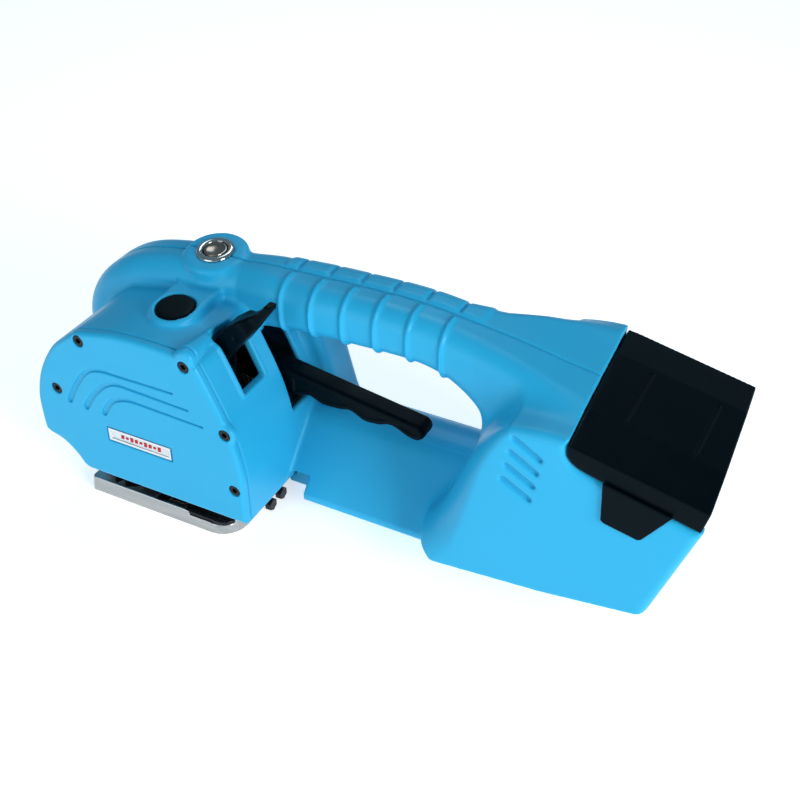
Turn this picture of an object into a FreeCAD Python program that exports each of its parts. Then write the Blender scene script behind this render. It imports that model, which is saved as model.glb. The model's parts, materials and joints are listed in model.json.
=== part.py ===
import FreeCAD, Part
import math
import os
import re

import Sketcher

# Battery strapping tool: a friction-weld tool for plastic strap, with a tensioning rocker, a weld head,
# a motor in the barrel between head and rear block, and a battery that slides out rearwards.
# Frame: +X from the head to the battery, +Z up, Y = 0 on the parting plane of the two housing halves.
# Drawn from the tension button's axis, then moved by middle_x so that the tool stands centred.

Vector = FreeCAD.Vector
UP = FreeCAD.Rotation()
TURN_TO = {
    "x": FreeCAD.Rotation(Vector(0, 0, 1), Vector(1, 0, 0)),
    "y": FreeCAD.Rotation(Vector(0, 0, 1), Vector(0, 1, 0)),
    "z": UP,
}

DRIVING = [
    ("middle_x", 87.97, "distance from the button's axis to the tool's middle, X"),
    ("middle_y", 7.25, "distance from the tool's middle to the parting plane, Y"),
    ("wall", 3, "housing wall"),
    ("gap", 0.3, "clearance between bodies"),
    ("fit_gap", 0.05, "radial clearance of a running fit"),
    ("head_side", 57, "near face of the head housing, from the parting plane"),
    ("far_side", 44, "far face of the head housing, from the parting plane"),
    ("cover_thick", 4.5, "near side cover thickness"),
    ("far_thick", 3, "far side cover thickness"),
    ("handle_side", 17, "half width of the handle"),
    ("hump_side", 15.5, "half width of the hump"),
    ("block_side", 44, "half width of the rear block"),
    ("barrel_y", 10, "motor axis, Y"),
    ("axis_z", 26, "motor and drive shaft height"),
    ("barrel_radius", 21.5, "motor barrel of the housing"),
    ("plate_front", -47.7, "base plate front edge"),
    ("plate_rear", 36.7, "base plate rear edge"),
    ("plate_near", 58, "near edge of the base plate, from the parting plane"),
    ("plate_far", 40, "far edge of the base plate, from the parting plane"),
    ("plate_thick", 8, "base plate thickness"),
    ("pivot_x", 5, "rocker pivot and drive shaft"),
    ("shaft_radius", 4, "drive shaft radius"),
    ("wheel_x", 25, "feed wheel axis, X"),
    ("wheel_z", 21.9, "feed wheel axis, Z"),
    ("wheel_radius", 13, "feed wheel radius"),
    ("strap_near", -50, "near side of the strap path"),
    ("strap_far", -33, "far side of the strap path"),
    ("cam_x", -32, "eccentric shaft, X"),
    ("cam_z", 50, "eccentric shaft, Z"),
    ("pulley_radius", 9, "timing pulleys"),
    ("pulley_near", -13, "near face of the pulleys"),
    ("pulley_width", 8, "pulley width"),
    ("belt_thick", 1.6, "timing belt thickness"),
    ("cone_distance", 15, "bevel gears, apex to outer end"),
    ("pinion_teeth", 12, "bevel pinion"),
    ("bevel_teeth", 24, "bevel gear"),
    ("can_radius", 18, "motor can radius"),
    ("can_front", 57, "motor can front face"),
    ("can_rear", 116, "motor can rear face"),
    ("button_top", 120, "top of the tension button bezel"),
    ("bezel_radius", 9, "bezel flange radius"),
    ("barrel_thread", 8, "bezel thread radius"),
    ("cap_radius", 5.6, "button cap radius"),
    ("weld_button_y", -33.9, "weld button axis, Y"),
    ("weld_button_top", 107.5, "weld button top"),
    ("weld_button_radius", 10, "weld button radius"),
    ("lever_near", -12, "near side of the tension lever"),
    ("lever_far", 0, "far side of the tension lever"),
    ("weld_pivot_x", 23, "weld lever pivot, X"),
    ("weld_pivot_z", 89, "weld lever pivot, Z"),
    ("pack_x", 191, "battery top edge, X"),
    ("pack_z", 102, "battery top edge, Z"),
    ("pack_slope", 8.5, "battery slide angle below level, degrees"),
    ("pack_length", 60, "battery lid length"),
    ("cell_radius", 9.1, "battery cell radius"),
    ("cell_length", 65, "battery cell length"),
]

doc = FreeCAD.newDocument("strapping_tool")
sizes = doc.addObject("Spreadsheet::Sheet", "Sizes")
for row, (alias, number, meaning) in enumerate(DRIVING, start=1):
    sizes.set(f"A{row}", meaning)
    sizes.set(f"B{row}", str(number))
    sizes.setAlias(f"B{row}", alias)
doc.recompute()

ALIASES = {alias for alias, number, meaning in DRIVING}
sub_parts = []


def value(alias):
    """A driving dimension, read back from the sheet."""
    return float(sizes.get(alias))


def formula(text):
    """An expression over the sheet's aliases."""
    def replace(match):
        word = match.group(0)
        return f"Sizes.{word}" if word in ALIASES else word
    return re.sub(r"[a-z][a-z0-9_]*", replace, str(text))


def bind(thing, **properties):
    """Bind properties of an object to the sheet."""
    for name, text in properties.items():
        thing.setExpression(name, formula(text))


def put(thing, x, y, z):
    """Bind the three coordinates of an object's place."""
    thing.setExpression("Placement.Base.x", formula(x))
    thing.setExpression("Placement.Base.y", formula(y))
    thing.setExpression("Placement.Base.z", formula(z))


def block(name, x, y, z):
    """Box between two limits along each axis."""
    piece = doc.addObject("Part::Box", name)
    bind(piece, Length=f"({x[1]}) - ({x[0]})", Width=f"({y[1]}) - ({y[0]})", Height=f"({z[1]}) - ({z[0]})")
    put(piece, x[0], y[0], z[0])
    return piece


def rod(name, radius, length, start, axis="z"):
    """Round bar that starts at a point and runs along an axis."""
    piece = doc.addObject("Part::Cylinder", name)
    bind(piece, Radius=radius, Height=length)
    piece.Placement = FreeCAD.Placement(Vector(), TURN_TO[axis])
    put(piece, *start)
    return piece


def hexagon_bar(name, across, length, start, axis="z"):
    """Six-sided bar, as a nut or a bolt head."""
    piece = doc.addObject("Part::Prism", name)
    piece.Polygon = 6
    bind(piece, Circumradius=f"({across}) / 1.732", Height=length)
    piece.Placement = FreeCAD.Placement(Vector(), TURN_TO[axis])
    put(piece, *start)
    return piece


def join(name, pieces):
    """Union of several pieces."""
    result = doc.addObject("Part::MultiFuse", name)
    result.Shapes = pieces
    return result


def cut(name, base, tools):
    """One piece less several others."""
    result = doc.addObject("Part::Cut", name)
    result.Base = base
    result.Tool = tools[0] if len(tools) == 1 else join(name + "_tools", tools)
    return result


def shape_piece(name, shape):
    """A piece whose shape is worked out here from the sheet's values."""
    piece = doc.addObject("Part::Feature", name)
    piece.Shape = shape
    return piece


def sub_part(label, pieces):
    """One named part of the tool, moved from the button's axis to the tool's middle."""
    if len(pieces) == 1 and pieces[0].TypeId == "Part::Feature" and pieces[0].Placement.isIdentity():
        part = pieces[0]
    else:
        part = doc.addObject("Part::Compound", "sub_" + label)
        part.Links = pieces
    part.Label = label
    put(part, "-middle_x", "middle_y", 0)
    sub_parts.append(part)
    return part


def body_part(label):
    """An empty PartDesign body that becomes one named part of the tool."""
    body = doc.addObject("PartDesign::Body", "body_" + label)
    body.Label = label
    put(body, "-middle_x", "middle_y", 0)
    sub_parts.append(body)
    return body


def sketch_on(body, role, name, offset="0"):
    """A sketch on one of the body's own planes, moved along the plane's normal."""
    plane = next(feature for feature in body.Origin.OriginFeatures if feature.Role == role)
    sketch = body.newObject("Sketcher::SketchObject", name)
    sketch.AttachmentSupport = [(plane, "")]
    sketch.MapMode = "FlatFace"
    sketch.setExpression("AttachmentOffset.Base.z", formula(offset))
    return sketch


def closed_lines(sketch, points):
    """A closed straight-sided outline."""
    first = sketch.GeometryCount
    for start, end in zip(points, points[1:] + points[:1]):
        sketch.addGeometry(Part.LineSegment(Vector(*start, 0), Vector(*end, 0)), False)
    count = len(points)
    for index in range(count):
        following = first + (index + 1) % count
        sketch.addConstraint(Sketcher.Constraint("Coincident", first + index, 2, following, 1))


def ring(sketch, centre, radius):
    """A circle whose radius and centre are bound to the sheet."""
    geometry = sketch.addGeometry(Part.Circle(Vector(1, 1, 0), Vector(0, 0, 1), 5), False)
    rules = (("Radius", (geometry,), radius), ("DistanceX", (geometry, 3), centre[0]),
             ("DistanceY", (geometry, 3), centre[1]))
    for kind, target, text in rules:
        index = sketch.addConstraint(Sketcher.Constraint(kind, *target, 5.0))
        sketch.setExpression(f"Constraints[{index}]", formula(text))


def pad(body, sketch, length, name, reverse=False):
    """Pad along the sketch's normal, or against it."""
    feature = body.newObject("PartDesign::Pad", name)
    feature.Profile = sketch
    feature.Reversed = reverse
    bind(feature, Length=length)
    return feature


def pocket(body, sketch, depth, name, reverse=False):
    """Pocket against the sketch's normal, or along it."""
    feature = body.newObject("PartDesign::Pocket", name)
    feature.Profile = sketch
    feature.Reversed = reverse
    bind(feature, Length=depth)
    return feature


def smooth(points):
    """A smooth edge through points."""
    curve = Part.BSplineCurve()
    curve.interpolate([Vector(*point) for point in points])
    return curve.toShape()


def straight(start, end):
    return Part.LineSegment(Vector(*start), Vector(*end)).toShape()


def lift(points, y):
    """Points of the XZ plane at a place along Y."""
    return [(x, y, z) for x, z in points]


def polygon_solid(points, near, far):
    """A straight-sided side outline drawn out from one Y to another."""
    corners = [Vector(x, near, z) for x, z in points]
    return Part.Face(Part.makePolygon(corners + corners[:1])).extrude(Vector(0, far - near, 0))


# ---------------------------------------------------------------- outlines, as (x, z) from the button
HEAD_REAR = [(47.8, 17), (47.6, 44.3), (43.6, 63.2), (39.1, 76.5), (28.7, 98.1)]
HEAD_TOP = [(28.7, 98.1), (23.4, 101.1), (17.9, 103), (1.6, 103.7), (-16.7, 102.8), (-36, 98.3)]
HEAD_FRONT = [(-36, 98.3), (-52.6, 85.9), (-62.6, 70), (-67.2, 55.5), (-66.7, 33.4)]
HEAD_TOE = [(-66.7, 33.4), (-56.5, 29.5), (-47, 22), (-42.7, 17)]
HANDLE_TOP = [(12.4, 116.5), (45.5, 120.5), (76, 122.3), (105, 122.5), (133.6, 119), (161, 114.6),
              (191, 107)]
HANDLE_UNDER = [(134, 74), (131, 86), (120, 94.5), (105, 97.8), (76, 97), (50, 96)]
HUMP_TOP = [(-74, 68), (-71.5, 80), (-64.5, 92), (-54, 102.4), (-38, 110), (-13.9, 114.4), (12.4, 116.5)]
BLOCK_FRONT = [(116, 9), (118.5, 23), (128.3, 37), (136, 56), (147, 83), (163, 103)]


def head_edges(y):
    rear = smooth(lift(HEAD_REAR, y))
    top = smooth(lift(HEAD_TOP, y))
    front = smooth(lift(HEAD_FRONT, y))
    toe = smooth(lift(HEAD_TOE, y))
    base = straight((HEAD_TOE[-1][0], y, HEAD_TOE[-1][1]), (HEAD_REAR[0][0], y, HEAD_REAR[0][1]))
    return [rear, top, front, toe, base]


def handle_edges(y):
    """Handle with its hump at the front and its root in the rear block."""
    top = smooth(lift(HUMP_TOP, y))
    back = smooth(lift(HANDLE_TOP, y))
    under = smooth(lift(HANDLE_UNDER, y))
    return [
        top, back,
        straight((191, y, 107), (191, y, 74)), straight((191, y, 74), (134, y, 74)),
        under,
        straight((50, y, 96), (30, y, 90)), straight((30, y, 90), (-66, y, 60)),
        straight((-66, y, 60), (HUMP_TOP[0][0], y, HUMP_TOP[0][1])),
    ]


def block_edges(y):
    """Rear block, seen from the side."""
    front = smooth(lift(BLOCK_FRONT, y))
    shoulder = smooth(lift([(163, 103), (177, 105.5), (191, 106.6)], y))
    return [
        front, shoulder,
        straight((191, y, 106.6), (191, y, 101)),
        smooth(lift([(191, 101), (198.6, 93.3), (207.5, 91.1)], y)),
        straight((207.5, y, 91.1), (247.6, y, 81.5)),
        straight((247.6, y, 81.5), (226, y, 0)),
        straight((226, y, 0), (126, y, 0)),
        straight((126, y, 0), (116, y, 9)),
    ]


def lengthwise(points, start, length):
    """A cross-section of (y, z) points drawn out along X."""
    corners = [Vector(start, y, z) for y, z in points]
    return Part.Face(Part.makePolygon(corners + corners[:1])).extrude(Vector(length, 0, 0))


def inset(edges_at, y, amount):
    """A side outline, or for the inside of a wall a straight-sided one drawn in by an amount."""
    wire = Part.Wire(Part.sortEdges(edges_at(y))[0])
    if not amount:
        return Part.Face(wire)
    corners = []
    for edge in wire.OrderedEdges:
        steps = 1 if isinstance(edge.Curve, Part.Line) else 7
        places = edge.discretize(steps + 1)
        corners += places[:-1] if edge.Orientation == "Forward" else places[:0:-1]
    return Part.Face(Part.makePolygon(corners + corners[:1])).makeOffset2D(-amount)


def housing_solid(skin):
    """The whole housing, drawn in by the skin on every side."""
    head_side = value("head_side") - skin
    far_side = value("far_side") - skin
    handle_side = value("handle_side") - skin
    block_side = value("block_side") - skin
    radius = value("barrel_radius") - skin
    near_floor = skin * 1.3
    head = inset(head_edges, -head_side, skin).extrude(Vector(0, head_side + far_side, 0))
    shoulder = lengthwise(
        [(-70, 0), (-70, 130), (17 - skin, 130), (17 - skin, 102 - skin), (31 - skin, 88 - skin),
         (44 - skin, 66 - skin), (44 - skin, 0)], -100, 200)
    head = head.common(shoulder)
    handle = inset(handle_edges, -handle_side, skin).extrude(Vector(0, 2 * handle_side, 0))
    block_shape = inset(block_edges, -block_side, skin).extrude(Vector(0, 2 * block_side, 0))
    keel = lengthwise(
        [(-block_side, 24 + near_floor), (-20, near_floor), (20, near_floor), (block_side, 24 + near_floor),
         (block_side, 130), (-block_side, 130)], 120, 140)
    block_shape = block_shape.common(keel)
    barrel_y = value("barrel_y")
    axis_z = value("axis_z")
    barrel = Part.makeCylinder(radius, 94, Vector(44, barrel_y, axis_z), Vector(1, 0, 0))
    skirt = lengthwise(
        [(-29 + skin, 15.5 + skin / 3), (-29 + skin, 13 + skin / 3), (-20 + skin, 4.6 + skin),
         (40 - skin, 4.6 + skin), (46 - skin, 14), (barrel_y + radius * 0.65, axis_z + radius * 0.76),
         (barrel_y - radius * 0.713, axis_z + radius * 0.701)], 44, 94)
    root = polygon_solid(
        [(42 + skin, 44), (58 - skin, 44), (60 - skin, 99), (42 + skin, 99)], 8 + skin, 30 - skin)
    pad_disc = Part.makeCylinder(15 - skin, 29.8, Vector(0, 0, 88.5 - skin))
    return head.fuse([handle, block_shape, barrel, skirt, root, pad_disc]).removeSplitter()


def tilted(shape):
    """A shape drawn level at the battery's top edge, turned onto the battery's slope."""
    turned = shape.copy()
    turned.rotate(Vector(0, 0, 0), Vector(0, 1, 0), value("pack_slope"))
    turned.translate(Vector(value("pack_x"), 0, value("pack_z")))
    return turned


def battery_bay():
    """Room for the battery, open to the rear."""
    deep = tilted(Part.makeBox(130, 75.4, 46, Vector(-28.6, -37.7, -57)))
    lid_room = tilted(Part.makeBox(130, 120, 40, Vector(-0.3, -60, -11.6)))
    return deep, lid_room


def housing():
    outer = housing_solid(0)
    inner = housing_solid(value("wall"))
    deep, lid_room = battery_bay()
    openings = [
        Part.makeBox(91, 95, 12, Vector(-46.5, -54, 14)),
        Part.makeBox(24, 14.8, 44, Vector(32, -13.4, 51)),
        Part.makeBox(24, 16.5, 27, Vector(20, -41.8, 78)),
        Part.makeCylinder(value("barrel_thread") + 0.2, 20, Vector(0, 0, 104)),
        Part.makeCylinder(value("weld_button_radius") + 0.3, 20, Vector(0, value("weld_button_y"), 98)),
        deep,
        lid_room,
    ]
    openings += [Part.makeCylinder(1.6, 12, Vector(x, -60, z), Vector(0, 1, 0)) for x, z in COVER_SCREWS]
    openings += [Part.makeCylinder(1.6, 12, Vector(x, 38, z), Vector(0, 1, 0)) for x, z in FAR_SCREWS]
    collar = Part.makeCylinder(13, 9, Vector(0, value("weld_button_y"), 99.5))
    whole = outer.fuse(collar).cut(inner)
    for opening in openings:
        whole = whole.cut(opening)
    floor = tilted(Part.makeBox(76, 82, 2.4, Vector(-28, -41, -59.6)))
    cradle = floor.common(housing_solid(value("wall") - 1))
    whole = whole.fuse(cradle)
    half = Part.makeBox(400, 200, 300, Vector(-150, -200, -50))
    near = whole.common(half)
    far = whole.cut(half)
    return near, far


def largest(shape):
    """The main solid of a shape, without loose slivers."""
    return max(shape.Solids, key=lambda solid: solid.Volume)


def make_housing():
    near, far = housing()
    sub_part("housing_near", [shape_piece("near_half", largest(near))])
    sub_part("housing_far", [shape_piece("far_half", largest(far))])


COVER_SCREWS = [(-35.5, 94), (-54, 62), (22, 98), (40, 67), (42.5, 36)]
FAR_SCREWS = [(-50, 56), (-44, 30), (34, 56), (36, 28)]
FAR_COVER = [(-42, 21), (36, 21), (41, 26), (41, 56), (34, 63), (-48, 63), (-57, 54), (-57, 36), (-50, 27)]


def cover_plate(label, outline, offset, thickness, outward):
    """A cover plate on one side of the head, with its outer rim chamfered and its screw holes cut."""
    body = body_part(label)
    sketch = sketch_on(body, "XZ_Plane", label + "_outline", offset)
    closed_lines(sketch, outline)
    plate = pad(body, sketch, thickness, label + "_plate", reverse=outward > 0)
    doc.recompute()
    face_y = max((edge.BoundBox.YMax for edge in plate.Shape.Edges), key=lambda y: y * outward)
    rim = [f"Edge{index}" for index, edge in enumerate(plate.Shape.Edges, start=1)
           if all(abs(vertex.Y - face_y) < 0.01 for vertex in edge.Vertexes)]
    rounding = body.newObject("PartDesign::Chamfer", label + "_rim")
    rounding.Base = (plate, rim)
    rounding.Size = 1.6
    return body


def cut_screw_holes(body, label, places, offset, thickness, outward):
    """Clearance holes through a cover plate."""
    holes = sketch_on(body, "XZ_Plane", label + "_holes", offset)
    for x, z in places:
        ring(holes, (x, z), 2.9)
    pocket(body, holes, thickness, label + "_holes_cut", reverse=outward > 0)


def make_covers():
    """Near side cover with a label recess and three decorative grooves, and the plain far cover."""
    outer = "head_side + cover_thick"
    near_outline = HEAD_REAR + HEAD_TOP[1:] + HEAD_FRONT[1:] + HEAD_TOE[1:]
    body = cover_plate("gear_cover", near_outline, "head_side", "cover_thick", -1)
    cut_screw_holes(body, "gear_cover", COVER_SCREWS, outer, "cover_thick", -1)
    recess = sketch_on(body, "XZ_Plane", "label_recess", outer)
    closed_lines(recess, [(-27, 41), (9, 41), (9, 48.5), (-27, 48.5)])
    pocket(body, recess, "1", "label_recess_cut")
    grooves = sketch_on(body, "XZ_Plane", "cover_grooves", outer)
    for line in GROOVES:
        closed_lines(grooves, groove_outline(line))
    pocket(body, grooves, "0.8", "cover_grooves_cut")
    far = cover_plate("far_cover", FAR_COVER, "-far_side", "far_thick", 1)
    cut_screw_holes(far, "far_cover", FAR_SCREWS, "-far_side - far_thick", "far_thick", 1)


GROOVES = [
    [(-47.1, 57.5), (-41.2, 68.2), (-33.5, 78), (-26.1, 81), (14.3, 81.6)],
    [(-37.6, 56.7), (-31.1, 66.4), (-24.1, 73.2), (-17.5, 76), (21.7, 74.7)],
    [(-27.1, 56.8), (-22.3, 64.2), (-17.2, 67.6), (-11.4, 69), (28.8, 67.8)],
]


def groove_outline(line):
    """A tapered groove: 2.4 wide at its lower end and 0.8 at its upper end."""
    left = []
    right = []
    for index, (x, z) in enumerate(line):
        before = line[max(index - 1, 0)]
        after = line[min(index + 1, len(line) - 1)]
        run = math.hypot(after[0] - before[0], after[1] - before[1])
        width = 1.2 - 0.8 * index / (len(line) - 1)
        side = (-(after[1] - before[1]) / run * width, (after[0] - before[0]) / run * width)
        left.append((x + side[0], z + side[1]))
        right.append((x - side[0], z - side[1]))
    return left + right[::-1]


def make_cover_screws(label, places, head_y, shank_y, socket_y):
    """Socket screws with their heads sunk into a cover."""
    screws = []
    for index, (x, z) in enumerate(places):
        head = rod(f"{label}_head{index}", 2.6, 2.5, (x, head_y, z), "y")
        shank = rod(f"{label}_shank{index}", 1.5, 3.6, (x, shank_y, z), "y")
        socket = hexagon_bar(f"{label}_socket{index}", 2.5, 1.4, (x, socket_y, z), "y")
        screws.append(cut(f"{label}_screw{index}", join(f"{label}_join{index}", [head, shank]), [socket]))
    sub_part(label, screws)


def make_base_plate():
    """Steel base plate with rounded rear corners, a side notch and a recess for the anvils."""
    body = body_part("base_plate")
    sketch = sketch_on(body, "XY_Plane", "plate_outline")
    front, rear = value("plate_front"), value("plate_rear")
    near, far = -value("plate_near"), value("plate_far")
    closed_lines(sketch, [
        (front, near + 4), (front + 4, near), (rear - 9, near), (rear - 3, near + 3), (rear, near + 9),
        (rear, far - 9), (rear - 3, far - 3), (rear - 9, far), (front + 4, far), (front, far - 4)])
    plate = pad(body, sketch, "plate_thick", "plate_pad")
    doc.recompute()
    top = [f"Edge{index}" for index, edge in enumerate(plate.Shape.Edges, start=1)
           if all(abs(vertex.Z - value("plate_thick")) < 0.01 for vertex in edge.Vertexes)]
    chamfer = body.newObject("PartDesign::Chamfer", "plate_chamfer")
    chamfer.Base = (plate, top)
    chamfer.Size = 1.5
    recess = sketch_on(body, "XY_Plane", "plate_recess", "plate_thick")
    closed_lines(recess, [(-44.3, -50.5), (-18.7, -50.5), (-18.7, -32.5), (-44.3, -32.5)])
    closed_lines(recess, [(15.7, -50.5), (34.3, -50.5), (34.3, -32.5), (15.7, -32.5)])
    pocket(body, recess, "2", "plate_recess_cut")
    holes = sketch_on(body, "XY_Plane", "plate_holes", "plate_thick")
    for x, y in PLATE_SCREWS:
        ring(holes, (x, y), 2.2)
    pocket(body, holes, "plate_thick", "plate_holes_cut")


PLATE_SCREWS = [(-35, -10), (-35, 26), (28, -10), (28, 26)]


def make_plate_details():
    sub_part("weld_anvil", [block("weld_anvil_bar", (-44, -19), ("strap_near", "strap_far"),
                                  ("plate_thick - 2", "plate_thick + 0.4"))])
    ridges = [block(f"anvil_ridge{index}", (17 + 2 * index, 18 + 2 * index), ("strap_near", "strap_far"),
                    ("plate_thick - 0.5", "plate_thick")) for index in range(8)]
    bar = block("feed_anvil_bar", (16, 34), ("strap_near", "strap_far"),
                ("plate_thick - 2", "plate_thick - 0.4"))
    sub_part("feed_anvil", [join("feed_anvil_join", [bar] + ridges)])
    screws = []
    for index, (x, y) in enumerate(PLATE_SCREWS):
        head = rod(f"plate_screw_head{index}", 2.1, 7, (x, y, 0.5))
        shank = rod(f"plate_screw_shank{index}", 1.6, 6, (x, y, 7))
        screws.append(join(f"plate_screw{index}", [head, shank]))
    sub_part("base_plate_screws", screws)
    guides = []
    for index, y in enumerate((-31, -21.6)):
        stem = rod(f"guide_stem{index}", 2, 3.4, (36.7, y, 4), "x")
        head = hexagon_bar(f"guide_head{index}", 5.5, 3, (39.5, y, 4), "x")
        guides.append(join(f"guide{index}", [stem, head]))
    sub_part("strap_guide_bolts", guides)


def make_gear_frame():
    """Cast frame on the base plate that carries the drive shaft, the eccentric shaft and the gearbox."""
    near_wall = shape_piece("frame_near_outline", polygon_solid(
        [(-42, 8), (34, 8), (34, 30), (20, 48), (-20, 62), (-42, 62)], -22, -16))
    far_wall = shape_piece("frame_far_outline", polygon_solid(
        [(-42, 8), (34, 8), (34, 30), (20, 48), (-20, 62), (-42, 62)], 32, 38))
    slab = block("frame_slab", (-41, 33), (-17, 33), ("plate_thick", 13))
    front_web = block("frame_web", (-41, -38), (-17, 33), (12, 30))
    nose = block("frame_nose", (32, 37), (-17, 33), ("plate_thick", 44))
    room = rod("frame_gear_room", 17, 18, ("pivot_x", 8, "axis_z"), "y")
    seats = [
        rod("near_seat", "shaft_radius + 3.5", 7, ("pivot_x", -22.5, "axis_z"), "y"),
        rod("far_seat", "shaft_radius + 3.5", 7, ("pivot_x", 31.5, "axis_z"), "y"),
        rod("cam_seat", "shaft_radius + 3", 7, ("cam_x", -22.5, "cam_z"), "y"),
        rod("cam_far_seat", "shaft_radius + fit_gap", 7, ("cam_x", 31.5, "cam_z"), "y"),
        rod("pinion_room", 12, 30, (10, "barrel_y", "axis_z"), "x"),
    ]
    holes = [rod(f"frame_hole{index}", 1.7, 6, (x, y, 7.5)) for index, (x, y) in enumerate(PLATE_SCREWS)]
    frame = join("frame_join", [near_wall, far_wall, slab, front_web, nose])
    sub_part("gear_frame", [cut("frame_cut", frame, [room] + seats + holes)])
    for label, y in (("drive_bearing_near", -22), ("drive_bearing_far", 32)):
        outer = rod(label + "_outer", "shaft_radius + 3.5", 6, ("pivot_x", y, "axis_z"), "y")
        bore = rod(label + "_bore", "shaft_radius + fit_gap", 8, ("pivot_x", y - 1, "axis_z"), "y")
        sub_part(label, [cut(label + "_ring", outer, [bore])])
    outer = rod("cam_bearing_outer", "shaft_radius + 3", 6, ("cam_x", -22, "cam_z"), "y")
    bore = rod("cam_bearing_bore", "shaft_radius + fit_gap", 8, ("cam_x", -23, "cam_z"), "y")
    sub_part("cam_bearing", [cut("cam_bearing_ring", outer, [bore])])


def bevel_teeth_shape(teeth, mate_teeth, axis, phase):
    """A straight bevel gear with its apex at the origin; each tooth is a wedge that runs to the apex."""
    cone = value("cone_distance")
    pitch = math.atan2(teeth, mate_teeth)
    module = 2 * cone * math.sin(pitch) / teeth
    root = pitch - 1.25 * module / cone
    tip = pitch + 0.85 * module / cone
    inner = cone * 0.62

    def point(distance, angle, turn):
        across = distance * math.sin(angle)
        along = distance * math.cos(angle)
        if axis == "x":
            return Vector(along, across * math.cos(turn), across * math.sin(turn))
        return Vector(across * math.cos(turn), along, across * math.sin(turn))

    def tooth(turn):
        half_root = 0.62 * math.pi / teeth
        half_tip = 0.22 * math.pi / teeth
        wires = []
        for distance in (inner, cone):
            corners = [point(distance, root - 0.02, turn - half_root),
                       point(distance, root - 0.02, turn + half_root),
                       point(distance, tip, turn + half_tip), point(distance, tip, turn - half_tip)]
            wires.append(Part.makePolygon(corners + corners[:1]))
        return Part.makeLoft(wires, True, True)

    near_end = inner * math.cos(root)
    far_end = cone * math.cos(root)
    direction = Vector(1, 0, 0) if axis == "x" else Vector(0, 1, 0)
    blank = Part.makeCone(inner * math.sin(root), cone * math.sin(root), far_end - near_end,
                          direction * near_end, direction)
    back = Part.makeCylinder(cone * math.sin(root), 2.5, direction * far_end, direction)
    turns = [phase + 2 * math.pi * index / teeth for index in range(teeth)]
    return blank.fuse([back] + [tooth(turn) for turn in turns]).removeSplitter()


def make_drive():
    """Motor, gearbox, bevel pair, drive shaft, timing belt and eccentric shaft."""
    pinion_teeth = int(value("pinion_teeth"))
    bevel_teeth = int(value("bevel_teeth"))
    apex = Vector(value("pivot_x"), value("barrel_y"), value("axis_z"))
    pinion = bevel_teeth_shape(pinion_teeth, bevel_teeth, "x", 0.0)
    gear = bevel_teeth_shape(bevel_teeth, pinion_teeth, "y", math.pi / bevel_teeth)
    shaft_hole = Part.makeCylinder(value("shaft_radius"), 60, Vector(0, -20, 0), Vector(0, 1, 0))
    motor_hole = Part.makeCylinder(2.5, 60, Vector(0, 0, 0), Vector(1, 0, 0))
    pinion = pinion.cut(motor_hole)
    gear = gear.cut(shaft_hole)
    pinion.translate(apex)
    gear.translate(apex)
    sub_part("bevel_pinion", [shape_piece("pinion_teeth", pinion)])
    sub_part("bevel_gear", [shape_piece("gear_teeth", gear)])
    sub_part("motor_shaft", [rod("motor_shaft_bar", 2.5, 34, ("pivot_x + 9", "barrel_y", "axis_z"), "x")])
    gearbox = rod("gearbox_outer", "can_radius - 1", 18, ("can_front - 18", "barrel_y", "axis_z"), "x")
    gearbox_bore = rod("gearbox_bore", "2.5 + fit_gap", 10, ("can_front - 19", "barrel_y", "axis_z"), "x")
    sub_part("gearbox_case", [cut("gearbox_cut", gearbox, [gearbox_bore])])
    make_motor_can()
    sub_part("motor_end_cap", [rod("end_cap", "can_radius - 2", 5, ("can_rear", "barrel_y", "axis_z"), "x")])
    sub_part("drive_shaft", [rod("drive_shaft_bar", "shaft_radius", 71, ("pivot_x", -33, "axis_z"), "y")])
    for label, x, z in (("drive_pulley", "pivot_x", "axis_z"), ("weld_pulley", "cam_x", "cam_z")):
        wheel = rod(label + "_rim", "pulley_radius", "pulley_width", (x, "pulley_near", z), "y")
        hole = rod(label + "_hole", "shaft_radius", "pulley_width + 2", (x, "pulley_near - 1", z), "y")
        sub_part(label, [cut(label + "_cut", wheel, [hole])])
    cam_shaft = rod("cam_shaft_bar", "shaft_radius", 72, ("cam_x", -34, "cam_z"), "y")
    cam = rod("cam_lobe", 5, 16, ("cam_x + 0.8", "strap_near + 0.5", "cam_z"), "y")
    sub_part("eccentric_shaft", [join("cam_join", [cam_shaft, cam])])
    make_belt()


def make_motor_can():
    """Turned motor can with a front boss and ventilation slots."""
    body = body_part("motor_can")
    sketch = sketch_on(body, "YZ_Plane", "can_circle", "can_front")
    ring(sketch, ("barrel_y", "axis_z"), "can_radius")
    pad(body, sketch, "can_rear - can_front", "can_pad")
    slot = sketch_on(body, "YZ_Plane", "can_slot", "can_rear")
    slot.setExpression("AttachmentOffset.Base.x", formula("barrel_y"))
    slot.setExpression("AttachmentOffset.Base.y", formula("axis_z"))
    closed_lines(slot, [(-2, 12), (2, 12), (2, 20), (-2, 20)])
    slot_cut = pocket(body, slot, "8", "can_slot_cut")
    doc.recompute()
    pattern = body.newObject("PartDesign::PolarPattern", "can_slots")
    pattern.Originals = [slot_cut]
    pattern.Axis = (slot, ["N_Axis"])
    pattern.Occurrences = 6
    body.Tip = pattern


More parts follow.
